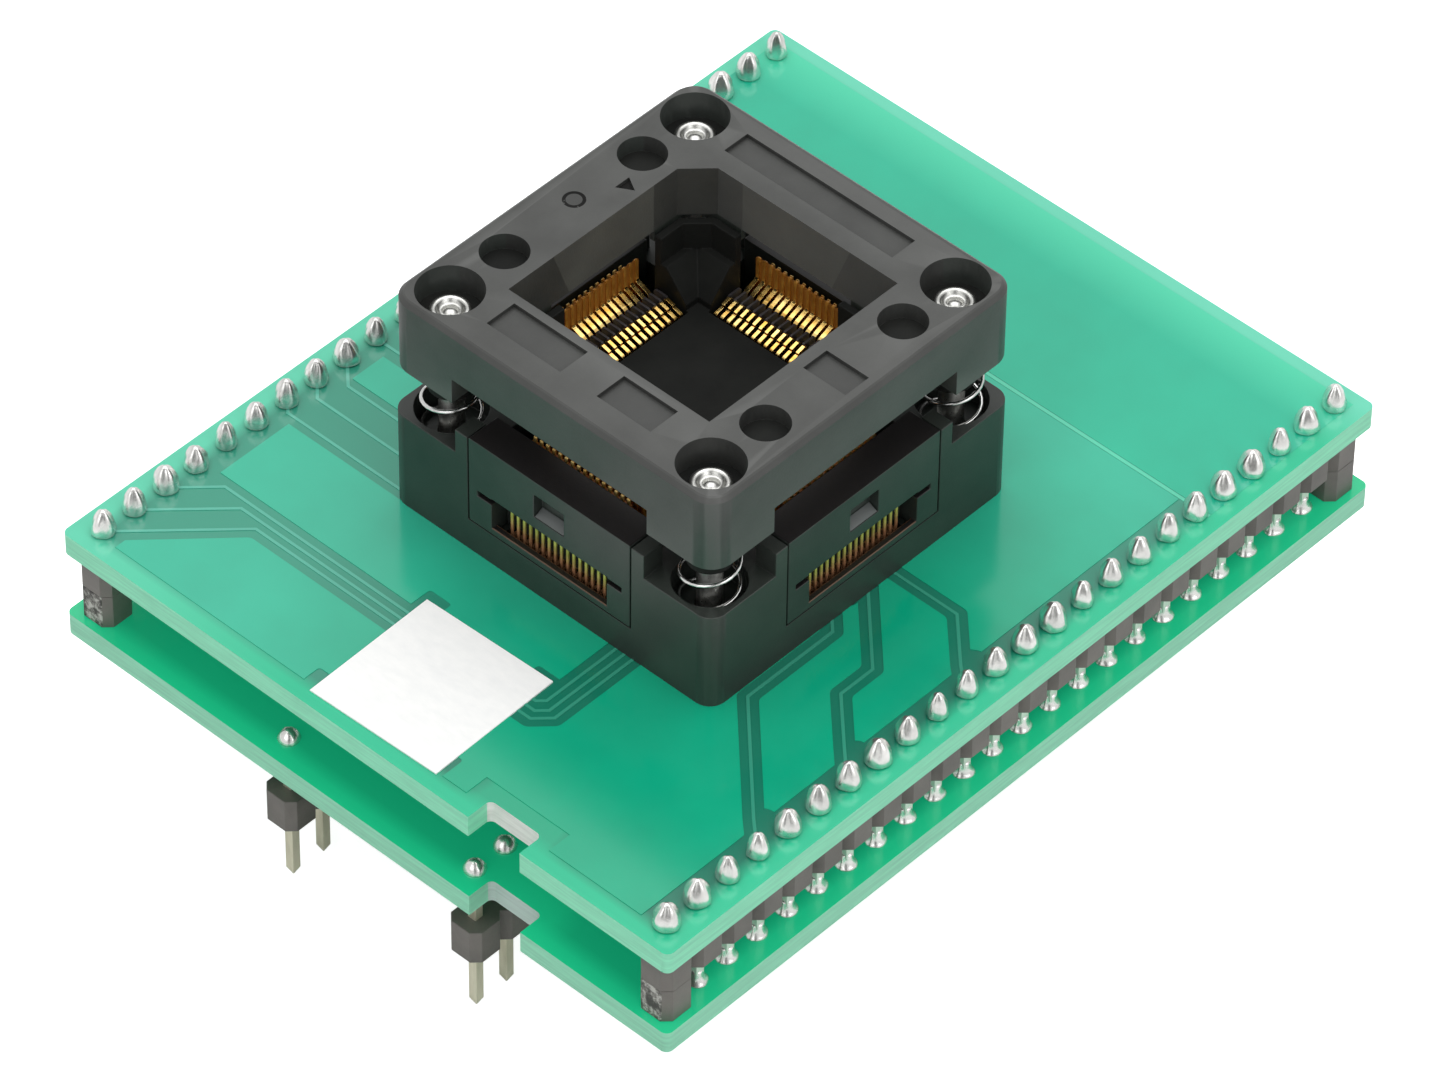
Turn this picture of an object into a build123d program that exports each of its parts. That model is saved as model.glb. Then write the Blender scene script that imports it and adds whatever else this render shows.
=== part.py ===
from build123d import *
import os
from math import cos, radians, sin

# Adapter that carries an open-top test socket for a 64-lead flat package on a 48-pin dual in-line plug.
# Millimetres. The origin lies midway between the plug's two pin rows, level with the pin tips.
# +X runs along the boards away from the orientation notch, +Y towards the left pin rows, +Z is up.

os.makedirs("parts", exist_ok=True)

# Pin fields
pitch = 2.54
positions = 24
plug_row_spacing = 15.24
link_row_spacing = 45.72
pin_side = 0.64
pin_point_length = 0.7
plug_pin_free = 5.2
plug_standoff = 2.4
link_pin_protrusion = 0.4

# Header strips, moulded as a row of eight-sided housings
strip_height = 2.54
strip_width = 2.54
strip_corner = 0.52

# Circuit boards
board_length = 62.0
board_width = 49.3
board_thickness = 1.6
board_corner = 0.5
notch_width = 4.1
notch_depth = 1.85
notch_y = -10.95
notch_corner = 0.4

# Solder joints
cone_radius = 0.86
cone_height = 1.5
dome_radius = 0.72
dome_height = 0.8
solder_sides = 6

# Label
label_side = 10.0
label_thickness = 0.1
label_inset = 6.0
label_x = label_inset - board_length / 2
label_y = -0.1
label_turn = 1.5

# Heights of the stack
plug_strip_low = plug_pin_free
bottom_board_low = plug_strip_low + strip_height + plug_standoff
bottom_board_top = bottom_board_low + board_thickness
top_board_low = bottom_board_top + 2 * strip_height
top_board_top = top_board_low + board_thickness
link_strip_low = top_board_low - strip_height

# Socket outline. Heights in this part of the file count from the upper board's top face.
socket_x = -2.35
socket_y = -0.3
socket_side = 26.0
socket_corner = 1.2
floor_thickness = 2.0
wall_top = 2.45
tower_top = 7.3
bay_width = 13.2
heart_side = 16.0
rib_width = 1.0
rib_depth = 1.6
rib_top = 9.1

# Posts, springs and guide pins in the four corners
post_offset = 10.4
pocket_radius = 2.25
pocket_floor = 5.4
shoulder_height = 4.6
foot_recess_side = 3.4
shank_radius = 0.8
running_clearance = 0.06
foot_radius = 1.4
foot_thickness = 0.55
foot_gap = 0.05
head_radius = 1.3
head_thickness = 0.7
spring_radius = 1.8
spring_pitch = 2.0
wire = 0.3
spring_runs = 12

# Cover
cover_side = 26.0
cover_corner = 1.6
cover_top = 16.7
skirt_low = 13.0
leg_low = 11.1
leg_inner = 7.8
window_half = 8.0
window_chamfer = 1.7
rim_low = 14.3
relief_start = 8.6
relief_reach = 10.3
relief_width = 8.6
counterbore_radius = 2.1
counterbore_depth = 2.0
blind_radius = 1.52
blind_offset = 5.85
blind_depth = 1.2
top_bevel = 0.35
panel_depth = 0.3
panels = [(10.4, 0.4, 2.0, 13.4), (-9.78, 3.97, 2.3, 5.9), (-9.78, -4.0, 2.3, 4.25), (0.0, -10.5, 2.0, 3.3)]
mark_depth = 0.25
mark_place = (3.2, 9.2)
mark_size = 0.7
mark_turn = -90

# Contacts
contact_pitch = 0.5
contacts_per_side = 16
contact_thickness = 0.24
contact_half_row = contact_pitch * contacts_per_side / 2
contact_tip_top = 8.7
contact_tip_start = 5.1
contact_tip_end = 6.1
contact_stem = 0.5
contact_bar = 0.45
contact_tail_start = 11.85
contact_tail_width = 0.4
contact_window_top = 5.2
tail_below_board = 0.6

# Knife-edge pivots of the sprung contact arms, in grooves along four rails
pivot_reach = 8.7
pivot_height = 4.25
pivot_gap = 0.05
groove_depth = 0.5
groove_half_width = 0.55
rail_start = 8.05
rail_end = 9.4
rail_low = 2.75

# Sprung contact arms
arm_width = 0.4
arm_waist = 7.5
finger_top = 10.5
finger_inset = 0.15
hook_tip = 5.75
hook_low = 8.75
hook_height = 0.25
hook_slope = 0.45

# Side plates
plate_inner = 10.6
plate_width = 13.0
plate_low = 2.5
plate_top = 9.2
window_low = 3.0
window_top = 5.4
window_width = 9.3
window_skin = 0.45
cavity_start = 11.6
slit_width = 1.15
slit_height = 0.4
slit_top = 5.3
latch_width = 2.4
latch_low = 6.3
latch_top = 8.1
latch_depth = 0.7

# Nest
platform_half = 4.95
platform_top = 8.6
guide_start = 4.1
guide_end = 7.7
guide_top = 11.0
guide_bevel = 1.5
screen_top = 13.0
screen_thickness = 0.5
device_half = 5.1
lead_in_height = 2.0
lead_in_angle = 40

sides = {"back": 0, "left": 90, "front": 180, "right": 270}


def save(sub_part, label):
    sub_part.part.label = label
    export_step(sub_part.part, f"parts/{label}.step")


def socket_plane(height, angle=0):
    """Plane at a height above the upper board, its x axis pointing out of one side of the socket."""
    return Plane(
        origin=(socket_x, socket_y, top_board_top + height),
        x_dir=(cos(radians(angle)), sin(radians(angle)), 0),
        z_dir=(0, 0, 1),
    )


def section_plane(angle):
    """Upright plane through the socket's centre: x runs out of one side, y up from the board."""
    return Plane(
        origin=(socket_x, socket_y, top_board_top),
        x_dir=(cos(radians(angle)), sin(radians(angle)), 0),
        z_dir=(sin(radians(angle)), -cos(radians(angle)), 0),
    )


def face_plane(angle):
    """Plane of the socket's outer side face, seen from outside: x to the right, y up from the board."""
    outward = Vector(cos(radians(angle)), sin(radians(angle)), 0)
    return Plane(
        origin=Vector(socket_x, socket_y, top_board_top) + outward * (socket_side / 2),
        x_dir=(-sin(radians(angle)), cos(radians(angle)), 0),
        z_dir=outward,
    )


# Circuit boards
def make_board(label, low):
    notch_end = -board_length / 2 + notch_depth
    with BuildPart() as board:
        with BuildSketch(Plane.XY.offset(low)):
            RectangleRounded(board_length, board_width, board_corner)
            with Locations((notch_end - notch_depth, notch_y)):
                Rectangle(2 * notch_depth, notch_width, mode=Mode.SUBTRACT)
        extrude(amount=board_thickness)
        upright_edges = board.edges().filter_by(Axis.Z).sort_by(Axis.X)
        notch_edges = [edge for edge in upright_edges if abs(edge.center().X - notch_end) < notch_corner]
        fillet(notch_edges, notch_corner)
    save(board, label)


# Header strips and their pins
with BuildSketch() as housing:
    Rectangle(pitch, strip_width)
    chamfer(housing.vertices(), strip_corner)


def make_strip(label, y, low):
    with BuildPart() as strip:
        with BuildSketch(Plane.XY.offset(low)):
            with Locations((0, y)):
                with GridLocations(pitch, pitch, positions, 1):
                    add(housing.sketch)
        extrude(amount=strip_height)
    save(strip, label)


def make_spacers():
    with BuildPart() as spacers:
        with BuildSketch(Plane.XY.offset(bottom_board_top)):
            with GridLocations(pitch * (positions - 1), link_row_spacing, 2, 2):
                add(housing.sketch)
        extrude(amount=strip_height)
    save(spacers, "link_spacers")


def make_link_pins(label, y):
    low = bottom_board_low - link_pin_protrusion
    with BuildPart() as pins:
        with BuildSketch(Plane.XY.offset(low)):
            with Locations((0, y)):
                with GridLocations(pitch, pitch, positions, 1):
                    Rectangle(pin_side, pin_side)
        extrude(amount=top_board_top - low)
    save(pins, label)


def make_plug_pins(label, y):
    with BuildPart() as pin:
        with BuildSketch(Plane.XY.offset(pin_point_length)) as section:
            Rectangle(pin_side, pin_side)
        extrude(amount=bottom_board_top - pin_point_length)
        loft([section.sketch.face(), Vertex(0, 0, 0)])
    with BuildPart() as pins:
        with Locations((0, y)):
            with GridLocations(pitch, pitch, positions, 1):
                add(pin.part)
    save(pins, label)


def make_solder(label, y, base, radius, height, count):
    """One row of solder joints, each rising from a pad to the pin's end."""
    with BuildPart() as joint:
        with BuildSketch() as pad:
            RegularPolygon(radius, solder_sides)
        loft([pad.sketch.face(), Vertex(0, 0, height)])
    with BuildPart() as row:
        with Locations((0, y, base)):
            with GridLocations(pitch, pitch, count, 1):
                add(joint.part)
    save(row, label)


# Label on the upper board
def make_label():
    with BuildPart() as sticker:
        with BuildSketch(Plane.XY.offset(top_board_top)):
            with Locations(Location((label_x, label_y), label_turn)):
                Rectangle(label_side, label_side)
        extrude(amount=label_thickness)
    save(sticker, "label_sticker")


# Socket base: floor, corner towers with spring pockets, side bays and the rails that carry the contact arms
def make_socket_base():
    rail_top = pivot_height - pivot_gap + groove_depth
    with BuildPart() as base:
        with BuildSketch(socket_plane(0)):
            RectangleRounded(socket_side, socket_side, socket_corner)
        extrude(amount=tower_top)
        with BuildSketch(socket_plane(wall_top)):
            Rectangle(bay_width, socket_side)
            Rectangle(socket_side, bay_width)
        extrude(amount=tower_top - wall_top, mode=Mode.SUBTRACT)
        with BuildSketch(socket_plane(floor_thickness)):
            Rectangle(bay_width, 2 * plate_inner)
            Rectangle(2 * plate_inner, bay_width)
            Rectangle(2 * contact_half_row + contact_pitch, socket_side - 2 * window_skin)
            Rectangle(socket_side - 2 * window_skin, 2 * contact_half_row + contact_pitch)
            Rectangle(heart_side, heart_side)
        extrude(amount=tower_top - floor_thickness, mode=Mode.SUBTRACT)
        # Ribs beside the side plates
        for angle in sides.values():
            with BuildSketch(socket_plane(tower_top, angle)):
                with Locations((socket_side / 2 - rib_depth / 2, 0)):
                    with GridLocations(rib_depth, bay_width + rib_width, 1, 2):
                        Rectangle(rib_depth, rib_width)
            extrude(amount=rib_top - tower_top)
        # Rails with the pivot grooves
        for angle in sides.values():
            with BuildSketch(socket_plane(rail_low, angle)):
                with Locations(((rail_start + rail_end) / 2, 0)):
                    Rectangle(rail_end - rail_start, bay_width)
            extrude(amount=rail_top - rail_low)
            with BuildSketch(section_plane(angle)):
                Polygon(
                    (pivot_reach - groove_half_width, rail_top),
                    (pivot_reach, rail_top - groove_depth),
                    (pivot_reach + groove_half_width, rail_top),
                    align=None,
                )
            extrude(amount=bay_width / 2, both=True, mode=Mode.SUBTRACT)
        # Spring pockets, guide bores and the recesses for the pins' feet
        with BuildSketch(socket_plane(pocket_floor)):
            with GridLocations(2 * post_offset, 2 * post_offset, 2, 2):
                Circle(pocket_radius)
        extrude(amount=rib_top - pocket_floor, mode=Mode.SUBTRACT)
        with BuildSketch(socket_plane(0)):
            with GridLocations(2 * post_offset, 2 * post_offset, 2, 2):
                Circle(shank_radius + running_clearance)
        extrude(amount=pocket_floor, mode=Mode.SUBTRACT)
        with BuildSketch(socket_plane(0)):
            with GridLocations(2 * post_offset, 2 * post_offset, 2, 2):
                Rectangle(foot_recess_side, foot_recess_side)
        extrude(amount=shoulder_height, mode=Mode.SUBTRACT)
    save(base, "socket_base")


# Side plates: contact carriers let into the base, each with a window on the contact tails
def make_side_plate(name, angle):
    depth = socket_side / 2 - plate_inner
    with BuildPart() as plate:
        with BuildSketch(socket_plane(plate_low, angle)):
            with Locations((plate_inner + depth / 2, 0)):
                Rectangle(depth, plate_width)
        extrude(amount=plate_top - plate_low)
        with BuildSketch(socket_plane(plate_low, angle)):
            with Locations(((cavity_start + socket_side / 2 - window_skin) / 2, 0)):
                Rectangle(socket_side / 2 - window_skin - cavity_start, window_width)
        extrude(amount=window_top - plate_low, mode=Mode.SUBTRACT)
        with BuildSketch(face_plane(angle)):
            with Locations((0, (window_low + window_top) / 2)):
                Rectangle(window_width, window_top - window_low)
            with Locations((0, slit_top - slit_height / 2)):
                Rectangle(window_width + 2 * slit_width, slit_height)
        extrude(amount=-window_skin, mode=Mode.SUBTRACT)
        with BuildSketch(face_plane(angle)):
            with Locations((0, (latch_low + latch_top) / 2)):
                Rectangle(latch_width, latch_top - latch_low)
        extrude(amount=-latch_depth, mode=Mode.SUBTRACT)
    save(plate, f"side_plate_{name}")


# Nest: platform under the device, the corner guides that centre it and the screens behind them
def make_nest():
    guide_centre = (guide_start + guide_end) / 2
    guide_side = guide_end - guide_start
    with BuildPart() as nest:
        with BuildSketch(socket_plane(floor_thickness)):
            with GridLocations(2 * guide_centre, 2 * guide_centre, 2, 2):
                Rectangle(guide_side, guide_side)
        extrude(amount=guide_top - floor_thickness)
        by_distance = nest.edges().filter_by(Axis.Z).sort_by_distance(socket_plane(guide_top / 2).origin)
        chamfer(by_distance[-4:], guide_bevel)
        with BuildSketch(socket_plane(floor_thickness)):
            Rectangle(2 * platform_half, 2 * platform_half)
        extrude(amount=platform_top - floor_thickness)
        with BuildSketch(socket_plane(platform_top)):
            Rectangle(2 * device_half, 2 * device_half)
        extrude(amount=guide_top - platform_top, mode=Mode.SUBTRACT)
        with BuildSketch(socket_plane(guide_top - lead_in_height)):
            Rectangle(2 * device_half, 2 * device_half)
        extrude(amount=lead_in_height, taper=-lead_in_angle, mode=Mode.SUBTRACT)
        with BuildSketch(socket_plane(guide_top)) as screens:
            Rectangle(2 * guide_end, 2 * guide_end)
            chamfer(screens.vertices(), guide_bevel)
            offset(amount=-screen_thickness, kind=Kind.INTERSECTION, mode=Mode.SUBTRACT)
            Rectangle(2 * guide_start, 2 * guide_end, mode=Mode.SUBTRACT)
            Rectangle(2 * guide_end, 2 * guide_start, mode=Mode.SUBTRACT)
        extrude(amount=screen_top - guide_top)
    save(nest, "nest")


# Contacts: profiles in the upright section, repeated along each row
def contact_planes(angle):
    """One upright plane for each contact of a row."""
    start = (contacts_per_side - 1) / 2
    section = section_plane(angle)
    return [section.offset((index - start) * contact_pitch) for index in range(contacts_per_side)]


def make_fixed_contacts(name, angle):
    """Lower contacts: tip under the lead, stem, bar on the floor, upright in the side window, tail."""
    bar_top = floor_thickness + contact_bar
    tail_end = contact_tail_start + contact_tail_width
    tail_low = -board_thickness - tail_below_board
    with BuildPart() as row:
        with BuildSketch(*contact_planes(angle)):
            Polygon(
                (contact_tip_start, floor_thickness),
                (contact_tip_start, contact_tip_top),
                (contact_tip_end, contact_tip_top),
                (contact_tip_start + contact_stem, bar_top),
                (contact_tail_start, bar_top),
                (tail_end, contact_window_top),
                (tail_end, tail_low),
                (contact_tail_start, floor_thickness),
                align=None,
            )
        extrude(amount=contact_thickness / 2, both=True)
    save(row, f"fixed_contacts_{name}")


def make_contact_arms(name, angle):
    """Sprung upper arms: knife edge in the rail's groove, finger under the cover and hook over the lead."""
    with BuildPart() as row:
        with BuildSketch(*contact_planes(angle)):
            Polygon(
                (pivot_reach, pivot_height),
                (pivot_reach + arm_width, arm_waist),
                (pivot_reach + arm_width, finger_top),
                (pivot_reach + finger_inset, finger_top),
                (pivot_reach, hook_low + hook_height),
                (hook_tip, hook_low + hook_height),
                (hook_tip, hook_low),
                (pivot_reach - arm_width, hook_low - hook_slope),
                align=None,
            )
        extrude(amount=contact_thickness / 2, both=True)
    save(row, f"contact_arms_{name}")


# Cover: square frame with corner legs, pockets over the contact arms and counterbored corners
def make_cover():
    with BuildPart() as cover:
        with BuildSketch(socket_plane(leg_low)):
            RectangleRounded(cover_side, cover_side, cover_corner)
            Rectangle(2 * leg_inner, cover_side, mode=Mode.SUBTRACT)
            Rectangle(cover_side, 2 * leg_inner, mode=Mode.SUBTRACT)
        extrude(amount=skirt_low - leg_low)
        with BuildSketch(socket_plane(skirt_low)):
            RectangleRounded(cover_side, cover_side, cover_corner)
        extrude(amount=cover_top - skirt_low)
        chamfer(cover.faces().sort_by(Axis.Z)[-1].edges(), top_bevel)
        with BuildSketch(socket_plane(skirt_low)) as window:
            Rectangle(2 * window_half, 2 * window_half)
            chamfer(window.vertices().sort_by_distance((cover_side, cover_side))[0], window_chamfer)
        extrude(amount=cover_top - skirt_low, mode=Mode.SUBTRACT)
        for angle in sides.values():
            with BuildSketch(socket_plane(skirt_low, angle)):
                with Locations(((relief_start + relief_reach) / 2, 0)):
                    Rectangle(relief_reach - relief_start, relief_width)
            extrude(amount=rim_low - skirt_low, mode=Mode.SUBTRACT)
        with Locations(socket_plane(cover_top)):
            with GridLocations(2 * post_offset, 2 * post_offset, 2, 2):
                Hole(counterbore_radius, counterbore_depth)
            with GridLocations(2 * blind_offset, 2 * post_offset, 2, 2):
                Hole(blind_radius, blind_depth)
        for x, y, width, length in panels:
            with BuildSketch(socket_plane(cover_top)):
                with Locations((x, y)):
                    Rectangle(width, length)
            extrude(amount=-panel_depth, mode=Mode.SUBTRACT)
        with BuildSketch(socket_plane(cover_top)):
            with Locations(mark_place):
                RegularPolygon(mark_size, 3, rotation=mark_turn)
        extrude(amount=-mark_depth, mode=Mode.SUBTRACT)
    save(cover, "cover")


# Guide pins: flared like rivets, the head in the cover's counterbore and the foot under the base's shoulder
def make_guide_pins():
    foot_top = shoulder_height - foot_gap
    foot_low = foot_top - foot_thickness
    head_low = cover_top - counterbore_depth
    head_top = head_low + head_thickness
    with BuildPart() as pin:
        with BuildSketch(section_plane(0)):
            Polygon(
                (0, foot_low),
                (foot_radius, foot_low),
                (shank_radius, foot_top),
                (shank_radius, head_low),
                (head_radius, head_top),
                (0, head_top),
                align=None,
            )
        revolve(axis=Axis((socket_x, socket_y, 0), (0, 0, 1)))
    with BuildPart() as pins:
        with GridLocations(2 * post_offset, 2 * post_offset, 2, 2):
            add(pin.part)
    save(pins, "guide_pins")


# Return springs between the base pockets and the cover's legs, each turn drawn as short straight runs
def make_spring(label, x, y):
    height = leg_low - pocket_floor - wire
    low = top_board_top + pocket_floor + wire / 2
    runs = round(height / spring_pitch * spring_runs)
    centre = Vector(socket_x + x, socket_y + y, low)
    points = [
        centre + Vector(spring_radius, 0, height * step / runs).rotate(Axis.Z, 360 * step / spring_runs)
        for step in range(runs + 1)
    ]
    with BuildPart() as spring:
        with BuildLine():
            coil = Polyline(*points)
        with BuildSketch(Plane(coil @ 0, z_dir=coil % 0)):
            Rectangle(wire, wire)
        sweep(path=coil, transition=Transition.RIGHT)
    save(spring, label)


make_board("bottom_board", bottom_board_low)
make_board("top_board", top_board_low)
make_spacers()
make_label()
for row_name, direction in (("left", 1), ("right", -1)):
    plug_y = direction * plug_row_spacing / 2
    link_y = direction * link_row_spacing / 2
    make_strip(f"plug_strip_{row_name}", plug_y, plug_strip_low)
    make_strip(f"link_strip_{row_name}", link_y, link_strip_low)
    make_plug_pins(f"plug_pins_{row_name}", plug_y)
    make_link_pins(f"link_pins_{row_name}", link_y)
    make_solder(f"plug_solder_{row_name}", plug_y, bottom_board_top, dome_radius, dome_height, positions)
    make_solder(f"link_solder_{row_name}", link_y, bottom_board_top, dome_radius, dome_height, positions - 2)
    make_solder(f"top_solder_{row_name}", link_y, top_board_top, cone_radius, cone_height, positions)
make_socket_base()
make_nest()
for side_name, side_angle in sides.items():
    make_side_plate(side_name, side_angle)
    make_fixed_contacts(side_name, side_angle)
    make_contact_arms(side_name, side_angle)
make_cover()
make_guide_pins()
for across, x_sign in (("front", -1), ("back", 1)):
    for row_name, y_sign in (("left", 1), ("right", -1)):
        make_spring(f"spring_{across}_{row_name}", x_sign * post_offset, y_sign * post_offset)
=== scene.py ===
import math

import bmesh
import bpy
from mathutils import Matrix, Vector, noise
from mathutils.geometry import delaunay_2d_cdt


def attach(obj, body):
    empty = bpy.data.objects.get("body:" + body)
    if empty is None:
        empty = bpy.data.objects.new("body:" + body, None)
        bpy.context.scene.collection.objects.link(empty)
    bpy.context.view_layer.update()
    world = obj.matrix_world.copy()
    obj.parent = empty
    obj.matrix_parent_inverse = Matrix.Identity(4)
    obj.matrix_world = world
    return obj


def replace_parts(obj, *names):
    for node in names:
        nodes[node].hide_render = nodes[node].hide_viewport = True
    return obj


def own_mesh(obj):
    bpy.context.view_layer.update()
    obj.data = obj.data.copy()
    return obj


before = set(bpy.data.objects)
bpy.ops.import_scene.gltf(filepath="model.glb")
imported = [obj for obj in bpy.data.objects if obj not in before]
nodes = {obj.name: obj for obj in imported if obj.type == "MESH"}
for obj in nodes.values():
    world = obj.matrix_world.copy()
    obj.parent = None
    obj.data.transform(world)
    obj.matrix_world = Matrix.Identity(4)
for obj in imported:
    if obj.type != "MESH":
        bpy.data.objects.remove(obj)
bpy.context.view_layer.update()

# Sizes in millimetres, as in the CAD model. Blender's own unit is the metre.
MM = 0.001
PITCH = 2.54
POSITIONS = 24
PIN_XS = [PITCH * (k - (POSITIONS - 1) / 2) for k in range(POSITIONS)]
PLUG_Y = 7.62
LINK_Y = 22.86
ROWS = (("left", 1), ("right", -1))
BOTTOM_TOP = 11.74  # upper side of the lower board
TOP = 18.42  # upper side of the upper board
SOCKET = (-2.35, -0.3)
SIDES = {"back": 0, "left": 90, "front": 180, "right": 270}
CONTACTS = 16
CONTACT_PITCH = 0.5
CONTACT_PLACES = [CONTACT_PITCH * (k - (CONTACTS - 1) / 2) for k in range(CONTACTS)]
ROW_HALF = 3.98  # half the length of a row of contacts
POST = 10.4  # the guide pins, from the socket's middle
POSTS = [(SOCKET[0] + x * POST, SOCKET[1] + y * POST, TOP) for x in (-1, 1) for y in (-1, 1)]
POCKET_FLOOR = 5.4
LEG_LOW = 11.1
COVER_TOP = 16.7
COVER_RIM = TOP + COVER_TOP

# Places on the cover, from the socket's middle
WINDOW_REACH = 8.3
OUTER_REACH = 11.4
SHALLOW, DEEP = 0.1, 0.6  # least depth of the recessed panels and of the round pits
MOULD_MARK, MARK_RADIUS, MARK_INNER = (0.17, 10.55), 0.72, 0.5
TRIANGLE, TRIANGLE_HALF = (3.2, 9.2), 0.8
PANEL_HALF = 4.3
PANEL_END, PANEL_SLANT = 4.24, 0.36  # end of a wall panel at the rim, and how it leans in per length down

# Places on the contacts, from the socket's middle, and the height over the board where the tails change tone
FINGERS = (8.78, 9.6)
TAILS = 11.5
TAIL_FADE = (3.1, 4.2)

# Places on the boards
NOTCH = (-29.15, -10.95)
NOTCH_HALF = (0.3, 2.2)  # of its inner end, which is cut white
NOTCH_FADE = (2.8, 4.4)  # where the bright rim round the notch ends
COPPER_HALF = (29.7, 23.15)
RIM_FADE = 0.55
# The near and far tones that these ranges blend are painted reflection: darker at the front right, where the glossy
# mask mirrors the socket, and lighter at the back and left, where it mirrors the bright studio.
FAR_RANGES = ((0, 16), (-6, 13))  # where the tone turns from the front right to the far one, along X and Y
FAR_RIM_RANGES = ((26, 30.5), (6, 30))
BACK_RANGE = (26.6, 30.1)
SEAM = (16.8, 17.05)
PLANE = (17.1, 30.1)
PLANE_HALF = 23.6

# The surface's upward part from which a face counts as level, and up to which it counts as upright
LEVEL, UPRIGHT = 0.6, 0.55


# Colours and shader nodes
def linear(colour):
    """0-255 screen colour to the linear values that Blender's sockets take."""
    values = []
    for channel in colour:
        c = channel / 255
        values.append(c / 12.92 if c <= 0.04045 else ((c + 0.055) / 1.055) ** 2.4)
    return (*values, 1.0)


class Graph:
    """A node tree with short calls to add, join and reckon."""

    def __init__(self, tree):
        self.tree = tree

    def add(self, kind, **settings):
        node = self.tree.nodes.new(kind)
        for key, value in settings.items():
            setattr(node, key, value)
        return node

    def join(self, out_socket, in_socket):
        self.tree.links.new(out_socket, in_socket)

    def feed(self, socket, source):
        """Joins another node's output to the socket, or sets its constant."""
        if isinstance(source, bpy.types.NodeSocket):
            self.join(source, socket)
        else:
            socket.default_value = source

    def math(self, operation, *sources):
        node = self.add("ShaderNodeMath", operation=operation)
        for socket, source in zip(node.inputs, sources):
            self.feed(socket, source)
        return node.outputs[0]

    def product(self, first, *others):
        for other in others:
            first = self.math("MULTIPLY", first, other)
        return first


class Shader(Graph):
    """A material with its principled shader and the point's place in the model's frame."""

    def __init__(self, name):
        self.material = bpy.data.materials.new(name)
        self.material.use_nodes = True
        super().__init__(self.material.node_tree)
        self.bsdf = self.tree.nodes["Principled BSDF"]
        self.coords = self.add("ShaderNodeTexCoord")

    def set(self, key, source):
        self.feed(self.bsdf.inputs[key], source)

    def parts(self, vector):
        """The three parts of a vector socket."""
        split = self.add("ShaderNodeSeparateXYZ")
        self.join(vector, split.inputs[0])
        return tuple(split.outputs)

    def point(self):
        return self.parts(self.coords.outputs["Object"])

    def facing(self):
        """The upward part of the surface's direction: 1 on top, 0 on upright faces, -1 below."""
        return self.parts(self.add("ShaderNodeNewGeometry").outputs["Normal"])[2]

    def noise(self, scale, detail=3.0, roughness=0.55, stretch=None):
        """Noise in object space; scale is in features per metre."""
        node = self.add("ShaderNodeTexNoise")
        node.inputs["Scale"].default_value = scale
        node.inputs["Detail"].default_value = detail
        node.inputs["Roughness"].default_value = roughness
        source = self.coords.outputs["Object"]
        if stretch:
            mapping = self.add("ShaderNodeMapping")
            mapping.inputs["Scale"].default_value = stretch
            self.join(source, mapping.inputs["Vector"])
            source = mapping.outputs["Vector"]
        self.join(source, node.inputs["Vector"])
        return node.outputs["Fac"]

    def ramp(self, fac, stops):
        """Colour ramp over stops of (place, 0-255 colour)."""
        node = self.add("ShaderNodeValToRGB")
        elements = node.color_ramp.elements
        while len(elements) < len(stops):
            elements.new(0.5)
        for element, (place, colour) in zip(elements, stops):
            element.position = place
            element.color = linear(colour)
        self.join(fac, node.inputs["Fac"])
        return node.outputs["Color"]

    def tones(self, fac, dark, light, low=0.3, high=0.7):
        return self.ramp(fac, [(low, dark), (high, light)])

    def mix(self, fac, a, b):
        node = self.add("ShaderNodeMix", data_type="RGBA")
        for socket, source in ((node.inputs[0], fac), (node.inputs[6], a), (node.inputs[7], b)):
            self.feed(socket, source)
        return node.outputs[2]

    def over(self, value, limit):
        """1 where a length in metres is over the limit in millimetres."""
        return self.math("GREATER_THAN", value, limit * MM)

    def under(self, value, limit):
        return self.math("LESS_THAN", value, limit * MM)

    def step(self, value, low, high):
        """0 up to low, 1 from high on, for a length in metres against two in millimetres."""
        node = self.add("ShaderNodeMapRange")
        node.inputs["From Min"].default_value = low * MM
        node.inputs["From Max"].default_value = high * MM
        self.join(value, node.inputs["Value"])
        return node.outputs["Result"]

    def apart(self, value, place):
        """How far a coordinate is from a place in millimetres, to either side."""
        return self.math("ABSOLUTE", self.math("SUBTRACT", value, place * MM))

    def distance(self, a, b):
        return self.math("SQRT", self.math("ADD", self.product(a, a), self.product(b, b)))

    def edge_wear_and_highlight(self):
        """1 along convex edges, which are paler for wear and for a painted highlight, 0 on flat faces."""
        node = self.add("ShaderNodeMapRange")
        node.inputs["From Min"].default_value = 0.52
        node.inputs["From Max"].default_value = 0.62
        self.join(self.add("ShaderNodeNewGeometry").outputs["Pointiness"], node.inputs["Value"])
        return node.outputs["Result"]

    def bump(self, height, strength, distance):
        """Relief in the surface's direction; distance is in millimetres."""
        node = self.add("ShaderNodeBump")
        node.inputs["Strength"].default_value = strength
        node.inputs["Distance"].default_value = distance * MM
        self.join(height, node.inputs["Height"])
        self.join(node.outputs["Normal"], self.bsdf.inputs["Normal"])


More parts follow.
